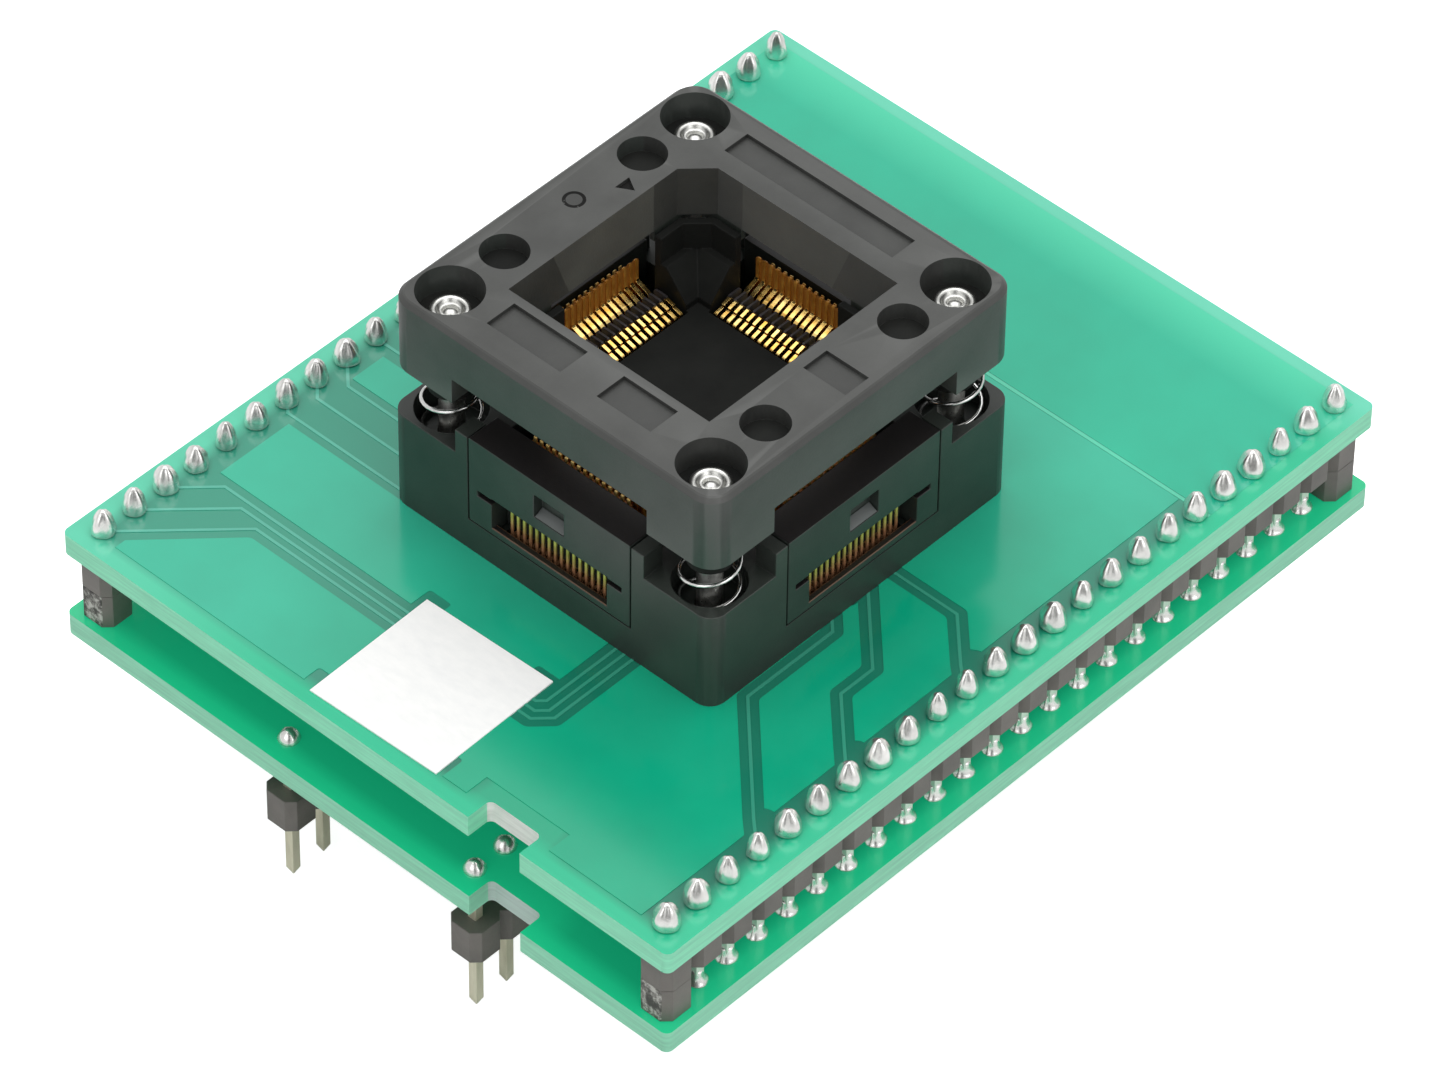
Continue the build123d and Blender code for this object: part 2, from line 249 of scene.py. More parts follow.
# Materials
def plastic(name, dark, light, roughness, wear_and_highlight=0.35, specular=0.5):
    """Moulded plastic with a fine grain, paler along its convex edges: partly wear, partly a painted highlight."""
    s = Shader(name)
    fine = s.noise(9000, 2)
    colour = s.tones(s.noise(260, 4), dark, light, high=0.72)
    worn_and_highlit = linear(min(255, c * 1.35 + 8) for c in light)
    s.set("Base Color", s.mix(s.product(s.edge_wear_and_highlight(), wear_and_highlight), colour, worn_and_highlit))
    s.set("Specular IOR Level", specular)
    s.set("Roughness", s.math("MULTIPLY_ADD", fine, 0.12, roughness - 0.06))
    s.bump(fine, 0.25, 0.02)
    return s.material


def metal(name, dark, light, roughness, scale, bump, stretch=None, metallic=1.0):
    s = Shader(name)
    fine = s.noise(scale * 6, 2, stretch=stretch)
    s.set("Base Color", s.tones(s.noise(scale, 3, stretch=stretch), dark, light))
    s.set("Metallic", metallic)
    s.set("Roughness", s.math("MULTIPLY_ADD", fine, 0.16, roughness - 0.08))
    s.bump(fine, bump, 0.01)
    return s.material


def socket_place(s):
    """The larger and the smaller of |x| and |y| from the socket's middle, then x, y and the height in the model."""
    x, y, z = s.point()
    x = s.math("SUBTRACT", x, SOCKET[0] * MM)
    y = s.math("SUBTRACT", y, SOCKET[1] * MM)
    sizes = (s.math("ABSOLUTE", x), s.math("ABSOLUTE", y))
    return s.math("MAXIMUM", *sizes), s.math("MINIMUM", *sizes), x, y, z


def cover_plastic():
    """Cover with painted shade and light: darker outer sides, recess floors and pit walls as painted shade, lighter
    wall panels over the contacts as painted light, near-black marks, and a round mould mark.
    """
    s = Shader("cover_plastic")
    reach, across, x, y, z = socket_place(s)
    up = s.facing()
    upright = s.math("LESS_THAN", s.math("ABSOLUTE", up), UPRIGHT)
    level = s.math("GREATER_THAN", up, LEVEL)

    # Recesses, the ring of the mould mark and the floor of the small triangle. The recess floors are darkened as
    # painted shade.
    deep = s.product(level, s.under(z, COVER_RIM - DEEP))
    shallow = s.product(level, s.under(z, COVER_RIM - SHALLOW))
    from_mark = s.distance(*(s.apart(value, middle) for value, middle in zip((x, y), MOULD_MARK)))
    mark = s.under(from_mark, MARK_RADIUS)
    broken = s.math("GREATER_THAN", s.noise(2600, 3), 0.36)
    ring = s.product(mark, s.over(from_mark, MARK_INNER), broken)
    from_triangle = s.math("MAXIMUM", *(s.apart(value, middle) for value, middle in zip((x, y), TRIANGLE)))
    # The triangle's floor and the broken ring of the mould mark are drawn near black.
    dark_mark = s.math("MAXIMUM", s.product(shallow, s.under(from_triangle, TRIANGLE_HALF)), ring)

    # Outer sides, window walls with their panels, and the walls of the round pits. The outer sides and the pit walls
    # get painted shade. The panels get painted light, which leaves them lighter than the wall ends beside them.
    shaded_outside = s.product(upright, s.over(reach, OUTER_REACH))
    walls = s.product(upright, s.under(reach, WINDOW_REACH))
    panel_edge = s.math("MULTIPLY_ADD", z, -PANEL_SLANT, (COVER_RIM * PANEL_SLANT - PANEL_END) * MM)
    past_edge = s.math("GREATER_THAN", s.math("MINIMUM", x, y), panel_edge)
    lit_panel = s.product(walls, s.under(across, PANEL_HALF), past_edge)
    pits = s.math("SUBTRACT", s.math("SUBTRACT", upright, shaded_outside), walls)
    # Painted shade in the recesses: full on the deep floors, partial on the shallow floors and on the walls of the
    # round pits.
    floor = s.math("MAXIMUM", s.math("MAXIMUM", deep, s.product(shallow, 0.35)), s.product(pits, 0.6))

    tones = {
        "top": ((60, 61, 59), (74, 75, 73)), "outer": ((46, 50, 47), (58, 62, 59)),
        "floor": ((32, 33, 32), (44, 45, 43)), "wall": ((54, 55, 52), (66, 67, 64)),
        "lit_panel": ((74, 75, 71), (88, 89, 84)), "dark_mark": ((12, 12, 11), (36, 36, 35)),
    }
    broad, fine = s.noise(260, 4), s.noise(8000, 2)
    colour = {key: s.tones(broad, dark, light, high=0.72) for key, (dark, light) in tones.items()}
    # Painted shade: the outer sides take a darker tone than the top.
    shade = s.mix(shaded_outside, colour["top"], colour["outer"])
    shade = s.mix(walls, shade, colour["wall"])
    # Painted light: the panels over the contacts are lighter than the rest of the window walls.
    shade = s.mix(lit_panel, shade, colour["lit_panel"])
    # Paler convex edges: partly wear, partly a painted highlight.
    shade = s.mix(s.product(s.edge_wear_and_highlight(), 0.3), shade, linear((112, 113, 111)))
    # Painted shade on the recess floors. The mould mark also takes the darker floor tone.
    shade = s.mix(s.math("MAXIMUM", floor, s.product(mark, 0.6)), shade, colour["floor"])
    s.set("Base Color", s.mix(dark_mark, shade, colour["dark_mark"]))
    # Less specular on the deep floors and the dark marks makes them darker. On the deep floors this is painted shade.
    s.set("Specular IOR Level", s.math("MULTIPLY_ADD", s.math("MAXIMUM", dark_mark, deep), -0.42, 0.5))
    s.set("Roughness", s.math("MULTIPLY_ADD", fine, 0.12, 0.4))
    uneven = s.product(s.noise(2600, 2), s.math("MULTIPLY_ADD", mark, 3.0, floor))
    s.bump(s.math("MULTIPLY_ADD", uneven, 2.0, fine), 0.35, 0.02)
    return s.material


def contact_gold():
    """Gold plate: bright at the hooks and tips, browner on the fingers as painted shade, yellow-green to brown down
    the tails.
    """
    s = Shader("contact_gold")
    reach, _, _, _, z = socket_place(s)
    broad = s.noise(1400, 3)
    bright = s.tones(broad, (226, 170, 74), (255, 226, 148))
    shaded_brown = s.tones(broad, (196, 126, 44), (244, 178, 82))
    olive = s.tones(broad, (158, 160, 66), (204, 206, 104))
    low = s.tones(broad, (150, 104, 72), (188, 138, 98))
    outer = s.over(reach, FINGERS[0])
    finger = s.product(outer, s.under(reach, FINGERS[1]))
    tail = s.over(reach, TAILS)
    tail_tone = s.mix(s.step(z, TOP + TAIL_FADE[0], TOP + TAIL_FADE[1]), low, olive)
    # Painted shade: the fingers take the brown tone.
    s.set("Base Color", s.mix(tail, s.mix(finger, bright, shaded_brown), tail_tone))
    s.set("Metallic", s.math("SUBTRACT", 1.0, s.math("ADD", s.product(tail, 0.25), s.product(outer, 0.5))))
    s.set("Roughness", s.math("MULTIPLY_ADD", tail, 0.25, 0.2))
    s.bump(s.noise(8400, 2), 0.15, 0.01)
    return s.material


def header_plastic():
    """Pin strips: satin black-grey plastic, torn and paler where single positions were broken off a strip."""
    s = Shader("header_plastic")
    x, _, z = s.point()
    at_end = s.over(s.math("ABSOLUTE", x), POSITIONS / 2 * PITCH - 0.06)
    torn = s.product(at_end, s.under(s.apart(z, BOTTOM_TOP + PITCH / 2), PITCH / 2))
    fine, crumbs = s.noise(7000, 2), s.noise(1500, 4, 0.7)
    colour = s.tones(s.noise(260, 4), (76, 73, 69), (106, 101, 96), high=0.72)
    torn_colour = s.ramp(crumbs, [(0.42, (58, 56, 54)), (0.5, (96, 94, 90)), (0.62, (176, 176, 170))])
    # Paler convex edges: partly wear, partly a painted highlight.
    colour = s.mix(s.product(s.edge_wear_and_highlight(), 0.4), colour, linear((128, 126, 122)))
    s.set("Base Color", s.mix(torn, colour, torn_colour))
    s.set("Roughness", s.math("MULTIPLY_ADD", fine, 0.12, s.math("MULTIPLY_ADD", torn, 0.25, 0.34)))
    s.bump(s.math("MULTIPLY_ADD", s.product(crumbs, torn), 6.0, fine), 0.4, 0.03)
    return s.material


def side_plate_plastic():
    """Side plate: dark where the cover shades its upper face, brown on the sills under the contact tails."""
    s = Shader("side_plate_plastic")
    upward = s.math("GREATER_THAN", s.facing(), LEVEL)
    sill = s.under(s.point()[2], TOP + 3)
    fine = s.noise(9000, 2)
    colour = s.tones(s.noise(260, 4), (38, 43, 40), (50, 56, 52), high=0.72)
    shaded = s.mix(sill, linear((26, 24, 24)), linear((96, 70, 50)))
    s.set("Base Color", s.mix(upward, colour, shaded))
    s.set("Roughness", s.math("MULTIPLY_ADD", fine, 0.12, 0.34))
    s.bump(fine, 0.25, 0.02)
    return s.material


def painted_reflection_ramp(s, x_range, y_range):
    """0 at the boards' front right corner, 1 past the end of either range. It blends the darker near tones into the
    lighter far ones as painted reflection. Lengths in millimetres.
    """
    x, y, _ = s.point()
    return s.math("MAXIMUM", s.step(x, *x_range), s.step(y, *y_range))


def board_material(name, bare, far_bare, rim, far_rim, laminate, cut, tint, glow=0.0):
    """Solder mask over bare laminate, brighter at the rim where no copper lies below, and pale cut edges.

    The glow stands for the light that the laminate itself passes on to a shaded upper side."""
    s = Shader(name)
    x, y, _ = s.point()
    west, north = (s.math("SUBTRACT", value, middle * MM) for value, middle in zip((x, y), NOTCH))
    from_notch = s.distance(west, north)
    inner = [
        s.step(s.math("ABSOLUTE", value), half + RIM_FADE, half - RIM_FADE) for value, half in zip((x, y), COPPER_HALF)
    ]
    inner = s.product(*inner, s.math("MULTIPLY_ADD", s.step(from_notch, *NOTCH_FADE), 0.6, 0.4))
    # Painted reflection: the bare and rim tones turn lighter towards the back and left.
    bare_tone = s.mix(painted_reflection_ramp(s, *FAR_RANGES), linear(bare), linear(far_bare))
    rim_tone = s.mix(painted_reflection_ramp(s, *FAR_RIM_RANGES), linear(rim), linear(far_rim))
    mask = s.mix(s.product(s.noise(140, 4), 0.2), s.mix(inner, rim_tone, bare_tone), linear(tint))

    # The boards' sides, with their layers, and the whiter cut of the notch
    layers = s.noise(900, 3, stretch=(0.35, 0.35, 7.0))
    side, notch_side = (s.tones(layers, [c * 0.9 for c in tone], tone) for tone in (laminate, cut))
    in_notch = s.product(*(
        s.under(s.math("ABSOLUTE", value), half) for value, half in zip((west, north), NOTCH_HALF)
    ))
    side = s.mix(in_notch, side, notch_side)
    flat = s.math("GREATER_THAN", s.math("ABSOLUTE", s.parts(s.coords.outputs["Normal"])[2]), 0.5)
    s.set("Base Color", s.mix(flat, side, mask))
    s.set("Roughness", s.math("MULTIPLY_ADD", flat, -0.42, 0.6))
    s.set("IOR", 1.7)
    if glow:
        s.set("Emission Color", (0.015, 1.0, 0.48, 1.0))
        s.set("Emission Strength", s.product(s.math("GREATER_THAN", s.facing(), 0.5), glow))
    s.bump(s.noise(420, 3), 0.12, 0.02)
    return s.material


def gloss_mask(name, near, far, back=None):
    """Solder mask over copper, from a darker tone at the front right to a lighter one at the back and left, which is
    painted reflection.

    The third tone, where it is given, is for the back edge."""
    s = Shader(name)
    mottle = s.noise(110, 4)
    near_tone, far_tone = (
        s.tones(mottle, [c * 0.96 for c in tone], [c * 1.04 for c in tone], 0.25, 0.75) for tone in (near, far)
    )
    tone = s.mix(painted_reflection_ramp(s, *FAR_RANGES), near_tone, far_tone)
    if back:
        tone = s.mix(s.step(s.point()[0], *BACK_RANGE), tone, linear(back))
    s.set("Base Color", tone)
    s.set("Roughness", s.math("MULTIPLY_ADD", s.noise(2600, 2), 0.06, 0.13))
    s.set("IOR", 1.7)
    s.bump(s.noise(420, 3), 0.12, 0.02)
    return s.material


def paper(name):
    s = Shader(name)
    fibre = s.noise(2400, 5, stretch=(1, 0.4, 1))
    s.set("Base Color", s.tones(fibre, (240, 241, 240), (250, 250, 248), 0.2, 0.8))
    s.set("Roughness", 0.7)
    s.bump(fibre, 0.2, 0.01)
    return s.material


PIN_GRAIN = (1, 1, 0.25)
mat = {
    # The near and far tones differ by painted reflection, the far ones being lighter.
    "top_board": board_material(
        "top_board_mask", bare=(18, 118, 94), far_bare=(54, 151, 126), rim=(12, 192, 144), far_rim=(106, 214, 182),
        laminate=(132, 220, 182), cut=(222, 226, 220), tint=(22, 130, 102)),
    "bottom_board": board_material(
        "bottom_board_mask", bare=(22, 140, 96), far_bare=(22, 140, 96), rim=(34, 186, 130), far_rim=(34, 186, 130),
        laminate=(134, 210, 176), cut=(176, 198, 190), tint=(24, 120, 82), glow=0.19),
    "copper": gloss_mask("mask_over_copper", (8, 167, 128), (50, 181, 149)),
    "copper_far": gloss_mask("mask_over_inner_copper", (8, 167, 128), (30, 180, 145), (70, 206, 165)),
    "seam": gloss_mask("mask_at_plane_edge", (60, 192, 156), (84, 202, 168)),
    "trace": gloss_mask("mask_over_trace", (52, 150, 124), (84, 178, 155)),
    "header": header_plastic(),
    "pins": metal("tinned_pin", (212, 207, 182), (240, 235, 212), 0.34, 1200, 0.25, PIN_GRAIN, 0.7),
    "link_pins": metal("tinned_link_pin", (222, 222, 216), (248, 247, 242), 0.34, 1200, 0.25, PIN_GRAIN, 0.35),
    "solder": metal("bright_solder", (214, 213, 210), (250, 249, 246), 0.24, 900, 0.35, metallic=0.92),
    "label": paper("label_paper"),
    "base": plastic("socket_base_plastic", (34, 38, 35), (46, 51, 47), 0.42),
    "plate": side_plate_plastic(),
    "nest": plastic("nest_plastic", (24, 25, 24), (34, 35, 33), 0.5, wear_and_highlight=0.03, specular=0.08),
    "comb": plastic("comb_plastic", (44, 42, 43), (62, 59, 60), 0.4),
    "cover": cover_plastic(),
    "brown_backing": plastic("arm_carrier_plastic", (112, 68, 22), (148, 94, 34), 0.3),
    "ledge": plastic("ledge_plastic", (64, 68, 67), (78, 82, 81), 0.5),
    "gold": contact_gold(),
    "steel": metal("rivet_steel", (178, 178, 174), (226, 226, 222), 0.3, 1800, 0.3),
    "wire": metal("spring_wire", (190, 190, 188), (238, 238, 236), 0.18, 1200, 0.1),
}


# Meshes
def new_object(name, vertices, faces, material, body=None, slot=None, smooth=False, bevel=None):
    """Makes a mesh object from points in millimetres and lets it ride on a CAD body."""
    mesh = bpy.data.meshes.new(name)
    mesh.from_pydata([tuple(c * MM for c in v) for v in vertices], [], faces)
    work = bmesh.new()
    work.from_mesh(mesh)
    bmesh.ops.recalc_face_normals(work, faces=work.faces)
    work.to_mesh(mesh)
    work.free()
    mesh.polygons.foreach_set("use_smooth", [smooth] * len(mesh.polygons))
    piece = bpy.data.objects.new(name, mesh)
    bpy.context.scene.collection.objects.link(piece)
    mesh.materials.append(material)
    if bevel:
        add_bevel(piece, bevel, 1)
    if body:
        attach(piece, body)
    return piece


def add_bevel(piece, width, segments):
    bevel = piece.modifiers.new("edges", "BEVEL")
    bevel.width = width * MM
    bevel.segments = segments
    bevel.limit_method = "ANGLE"
    bevel.angle_limit = math.radians(35)
    bevel.use_clamp_overlap = True
    bevel.harden_normals = True


def dress(node, material, width=None, segments=2):
    """Material and soft edges on a CAD node, with its mesh left as it is."""
    piece = nodes[node]
    for holder in piece.material_slots:
        holder.link = "OBJECT"
        holder.material = material
    if width:
        weld = piece.modifiers.new("weld", "WELD")
        weld.merge_threshold = 0.002 * MM
        add_bevel(piece, width, segments)


class Build:
    """Collects vertices and faces of many small shapes into one piece."""

    def __init__(self):
        self.vertices = []
        self.faces = []

    def add(self, vertices, faces):
        start = len(self.vertices)
        self.vertices.extend(vertices)
        self.faces.extend(tuple(start + i for i in face) for face in faces)

    def rings(self, rings):
        """Skin over closed rings of equally many points, with flat ends."""
        count, last = len(rings[0]), (len(rings) - 1) * len(rings[0])
        faces = []
        for start in range(0, last, count):
            for k in range(count):
                n = (k + 1) % count
                faces.append((start + k, start + n, start + count + n, start + count + k))
        faces.append(tuple(range(count))[::-1])
        faces.append(tuple(last + k for k in range(count)))
        self.add([point for ring in rings for point in ring], faces)

    def lathe(self, centre, profile, segments, shape=None):
        """Profile of (radius, height) turned about an upright axis; shape(angle, height) scales the radius."""
        angles = [2 * math.pi * k / segments for k in range(segments)]
        rings = []
        for radius, height in profile:
            scaled = [(angle, radius * (shape(angle, height) if shape else 1)) for angle in angles]
            rings.append([
                (centre[0] + r * math.cos(angle), centre[1] + r * math.sin(angle), centre[2] + height)
                for angle, r in scaled
            ])
        self.rings(rings)

    def prism(self, outline, place, middle, half):
        """Closed outline swept to half its width on either side of middle; place(a, b, c) gives the point in space."""
        self.rings([[place(a, b, c) for a, b in outline] for c in (middle - half, middle + half)])

    def make(self, name, material, body, **settings):
        return new_object(name, self.vertices, self.faces, material, body, **settings)


def side_frame(angle):
    """Maps (reach, height over the board, place along the row) of one socket side to the model's frame."""
    out = Vector((math.cos(math.radians(angle)), math.sin(math.radians(angle)), 0))
    along = Vector((-out.y, out.x, 0))
    centre = Vector((*SOCKET, TOP))

    def place(reach, height, across):
        return tuple(centre + out * reach + along * across + Vector((0, 0, height)))

    return place


def rounded(points, radius, steps=2):
    """Rounds the corners of a closed outline."""
    result = []
    count = len(points)
    for i in range(count):
        p, q, r = (Vector(points[(i + k) % count]) for k in (-1, 0, 1))
        a, b = (p - q), (r - q)
        cut = min(radius, a.length * 0.45, b.length * 0.45)
        start, end = q + a.normalized() * cut, q + b.normalized() * cut
        for k in range(steps + 1):
            t = k / steps
            result.append(tuple(start * (1 - t) ** 2 + q * 2 * t * (1 - t) + end * t ** 2))
    return result


def rectangle(x_low, x_high, half):
    return [(x_low, -half), (x_high, -half), (x_high, half), (x_low, half)]


def strip_outline(points, half):
    """Outline of a strip of even width along a line with mitred bends."""
    left, right = [], []
    count = len(points)
    for i, point in enumerate(points):
        q = Vector(point)
        before = (q - Vector(points[i - 1])).normalized() if i > 0 else None
        after = (Vector(points[i + 1]) - q).normalized() if i < count - 1 else None
        before, after = before or after, after or before
        tangent = (before + after).normalized()
        normal = Vector((-tangent.y, tangent.x))
        reach = half / max(0.3, tangent.dot(before))
        left.append(tuple(q + normal * reach))
        right.append(tuple(q - normal * reach))
    return left + right[::-1]


def inside(point, outline):
    x, y = point
    hit = False
    for i in range(len(outline)):
        (x1, y1), (x2, y2) = outline[i - 1], outline[i]
        if (y1 > y) != (y2 > y) and x < (x2 - x1) * (y - y1) / (y2 - y1) + x1:
            hit = not hit
    return hit


# Copper on the upper board, raised under the solder mask: the pour with its clearances, and the traces
pour = [
    (-29.7, -21.35), (16.75, -21.35), (16.75, 21.4), (-29.7, 21.4),
    (-29.7, -7.5), (-28.0, -7.5), (-28.0, -14.1), (-29.7, -14.1),
]
left_lines = [
    [(-29.2, 22.8), (-28.3, 21.9), (-22.9, 16.5), (-22.9, -6.05), (-21.9, -7.05), (-14.0, -7.05)],
    [(-26.7, 22.8), (-22.27, 18.35), (-22.27, -5.8), (-21.67, -6.4), (-14.0, -6.4)],
    [(-24.1, 22.8), (-21.65, 20.35), (-21.65, -5.3), (-21.2, -5.75), (-14.0, -5.75)],
    [(-13.97, 22.8), (-14.62, 22.1), (-14.62, 10.0)],
    [(-11.43, 22.8), (-12.53, 21.7), (-12.53, 10.0)],
    [(-8.89, 22.8), (-10.5, 21.1), (-10.5, 10.0)],
    [(-6.35, 22.8), (-6.35, 10.0)],
]
right_lines = [
    [(-21.59, -22.8), (-19.8, -20.85), (-12.9, -13.95), (-5.6, -13.95), (-3.6, -11.95)],
    [(-13.97, -22.8), (-12.25, -21.0), (-9.0, -17.72), (-6.25, -17.72), (-0.4, -11.9)],
    [(-3.81, -22.8), (-2.5, -21.25), (0.5, -18.25), (0.5, -11.9)],
]
bare_areas = [
    [
        (-29.1, 21.6), (-23.6, 16.2), (-23.6, -6.3), (-22.2, -7.7), (-13.0, -7.7),
        (-13.0, -5.1), (-20.6, -5.1), (-21.0, -4.7), (-21.0, 21.6),
    ],
    [(-15.25, 21.6), (-15.25, 9.0), (-9.85, 9.0), (-9.85, 21.6)],
    [(-7.2, 21.6), (-7.2, 9.0), (-4.0, 9.0), (-4.0, 21.6)],
    [(-21.2, 5.5), (-21.2, 3.7), (-19.4, 3.7), (-19.4, 5.5)],
    [(-21.2, -3.4), (-21.2, -5.3), (-19.45, -5.3), (-19.45, -3.4)],
    [(-29.8, 5.7), (-29.8, 3.9), (-28.4, 3.9), (-28.4, 5.7)],
    [(-29.8, -3.7), (-29.8, -5.6), (-28.0, -5.6), (-28.0, -3.7)],
    *(strip_outline(line, half) for line, half in zip(right_lines, (0.64, 0.64, 0.62))),
    strip_outline([(-19.05, -22.0), (-19.05, -21.2), (-19.5, -20.4)], 0.45),
    strip_outline([(-11.43, -22.0), (-11.43, -21.3), (-12.3, -20.6)], 0.45),
    strip_outline([(-1.27, -22.0), (-1.27, -21.3), (-1.9, -20.5)], 0.45),
    strip_outline([(-2.9, -13.4), (-2.9, -11.5)], 0.4),
]
bare_areas = [rounded(area, 0.25, 3) for area in bare_areas]


def copper_mesh(name, plates, cuts, material, thickness):
    """Flat copper: everything in plates that isn't in cuts, raised over the board by its thickness."""
    points, polygons = [], []
    for outline in plates + cuts:
        polygons.append(list(range(len(points), len(points) + len(outline))))
        points.extend(Vector(p) for p in outline)
    points, _, triangles, _, _, _ = delaunay_2d_cdt(points, [], polygons, 0, 1e-5)
    chosen = []
    for triangle in triangles:
        middle = sum((points[i] for i in triangle), Vector((0, 0))) / len(triangle)
        if any(inside(middle, plate) for plate in plates) and not any(inside(middle, cut) for cut in cuts):
            chosen.append(triangle)
    used = sorted({i for triangle in chosen for i in triangle})
    index = {old: new for new, old in enumerate(used)}
    count = len(used)
    vertices = [(*points[i], TOP + height) for height in (thickness, 0) for i in used]
    faces = [tuple(index[i] for i in triangle) for triangle in chosen]
    edges = {(face[k], face[(k + 1) % 3]): None for face in faces for k in range(3)}
    faces += [(b, a, a + count, b + count) for a, b in edges if (b, a) not in edges]
    new_object(name, vertices, faces, material, "adapter", slot="solder_mask")


TRACE_HALF = 0.1
trace_strips = [strip_outline(line, TRACE_HALF) for line in left_lines + right_lines]
copper_mesh("top_copper_pour", [pour], bare_areas, mat["copper"], thickness=0.04)
copper_mesh("top_traces", trace_strips, [], mat["trace"], thickness=0.04)
copper_mesh("top_inner_plane", [rectangle(*PLANE, PLANE_HALF)], [], mat["copper_far"], thickness=0.012)
copper_mesh("top_seam", [rectangle(*SEAM, PLANE_HALF)], [], mat["seam"], thickness=0.02)


# Solder joints, uneven but the same on each run
def wave(*place):
    return noise.noise(Vector(place))


def joint_shape(seed, square):
    """Uneven outline of one solder joint, going over to the square of its pin towards the top."""
    def shape(angle, height):
        corner = 1 + square * min(1, height) * 0.12 * math.cos(4 * angle)
        return (1 + 0.1 * wave(seed * 3.7, math.cos(angle) * 1.3, math.sin(angle) * 1.3 + height)) * corner
    return shape


drop = [
    (0.7, 0.0), (0.76, 0.12), (0.78, 0.3), (0.76, 0.52), (0.7, 0.76), (0.61, 1.0),
    (0.5, 1.24), (0.38, 1.45), (0.27, 1.6), (0.15, 1.7), (0.04, 1.74),
]
dome = [
    (0.72, 0.0), (0.71, 0.08), (0.66, 0.22), (0.57, 0.4), (0.44, 0.56), (0.3, 0.68), (0.16, 0.76), (0.05, 0.79),
]
flare = [
    (0.72, 0.0), (0.71, 0.06), (0.64, 0.15), (0.56, 0.28), (0.49, 0.44), (0.44, 0.62), (0.4, 0.82), (0.37, 0.95),
]
for row, direction in ROWS:
    cones = Build()
    for k, x in enumerate(PIN_XS):
        tall = 1.0 + 0.16 * wave(k * 1.9, direction * 2.3, 0.4)
        wide = 1.0 + 0.22 * wave(k * 3.1, direction * 1.7, 2.6)
        lean = 0.05 * wave(k * 2.3, direction, 1.4)
        profile = [(radius * wide, height * tall) for radius, height in drop]
        cones.lathe((x + lean, direction * LINK_Y, TOP), profile, 24, joint_shape(k + 40 * direction, 1))
    piece = cones.make(f"top_joints_{row}", mat["solder"], "adapter", slot="solder", smooth=True)
    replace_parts(piece, f"top_solder_{row}")
    for kind, y, xs, profile in (("plug", PLUG_Y, PIN_XS, dome), ("link", LINK_Y, PIN_XS[1:-1], flare)):
        joints = Build()
        for k, x in enumerate(xs):
            joints.lathe((x, direction * y, BOTTOM_TOP), profile, 18, joint_shape(k + 90 * direction, 0.6))
        piece = joints.make(f"{kind}_joints_{row}", mat["solder"], "adapter", slot="solder", smooth=True)
        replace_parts(piece, f"{kind}_solder_{row}")


# Contacts: the stamped strips with rounded bends, beside the combs of the nest. Outlines are (reach, height).
lower_outline = rounded([
    (5.12, 8.1), (5.12, 8.44), (5.24, 8.53), (5.75, 8.68), (5.98, 8.69), (6.08, 8.5),
    (5.75, 7.9), (5.6, 2.45), (12.12, 2.45), (12.12, 2.03), (5.12, 2.03),
], 0.08)
tail_outline = rounded([
    (12.12, 2.2), (12.12, 5.05), (12.18, 5.18), (12.24, 5.05), (12.24, -2.1), (12.18, -2.2), (12.12, -2.1),
], 0.04)
arm_outline = rounded([
    (8.7, 4.27), (9.0, 6.4), (9.08, 7.6), (9.09, 10.3), (9.03, 10.48), (8.9, 10.48), (8.86, 10.3),
    (8.83, 9.1), (8.7, 8.86), (7.95, 8.55), (7.66, 8.36), (7.35, 8.16), (6.85, 8.12), (6.62, 8.3),
    (6.54, 8.86), (6.44, 9.0), (5.88, 8.84), (5.78, 8.8), (5.78, 8.75), (6.1, 8.73), (6.3, 8.1),
    (6.6, 7.85), (7.2, 7.85), (7.75, 8.1), (8.2, 8.22), (8.38, 8.1), (8.44, 7.2), (8.62, 5.0),
], 0.1)
bend_outline = rounded([
    (8.84, 8.95), (8.7, 8.88), (7.95, 8.57), (7.68, 8.38), (7.72, 8.3), (8.2, 8.4), (8.8, 8.75),
], 0.05)
stem_outline = rounded([(10.1, 2.4), (10.1, 9.06), (10.15, 9.14), (10.22, 9.14), (10.27, 9.06), (10.27, 2.4)], 0.04)
comb_outline = [(6.55, 5.5), (6.55, 8.72), (6.65, 8.85), (7.5, 8.85), (7.62, 8.72), (7.62, 5.5)]
# A brown strip behind the fingers: painted reflection of the gold arms on the wall.
arm_reflection_outline = [(8.9, 8.6), (8.9, 10.38), (9.03, 10.38), (9.03, 8.6)]
holder_outline = [(10.13, 7.6), (10.13, 8.74), (10.25, 8.74), (10.25, 7.6)]
lip_outline = [(8.03, 12.1), (8.03, 13.1), (8.4, 13.1), (8.4, 12.1)]
latch_outline = [(12.32, 6.3), (12.96, 6.3), (12.96, 6.36), (12.32, 6.7)]
LOWER_HALF, TAIL_HALF, ARM_HALF, BEND_HALF, STEM_HALF = 0.125, 0.1, 0.115, 0.15, 0.12
COMB_HALF, LATCH_HALF = 0.09, 1.15
comb_places = [CONTACT_PLACES[0] + CONTACT_PITCH * (k - 0.5) for k in range(CONTACTS + 1)]
LIP_MIDDLE, LIP_HALF = 6.05, 1.65


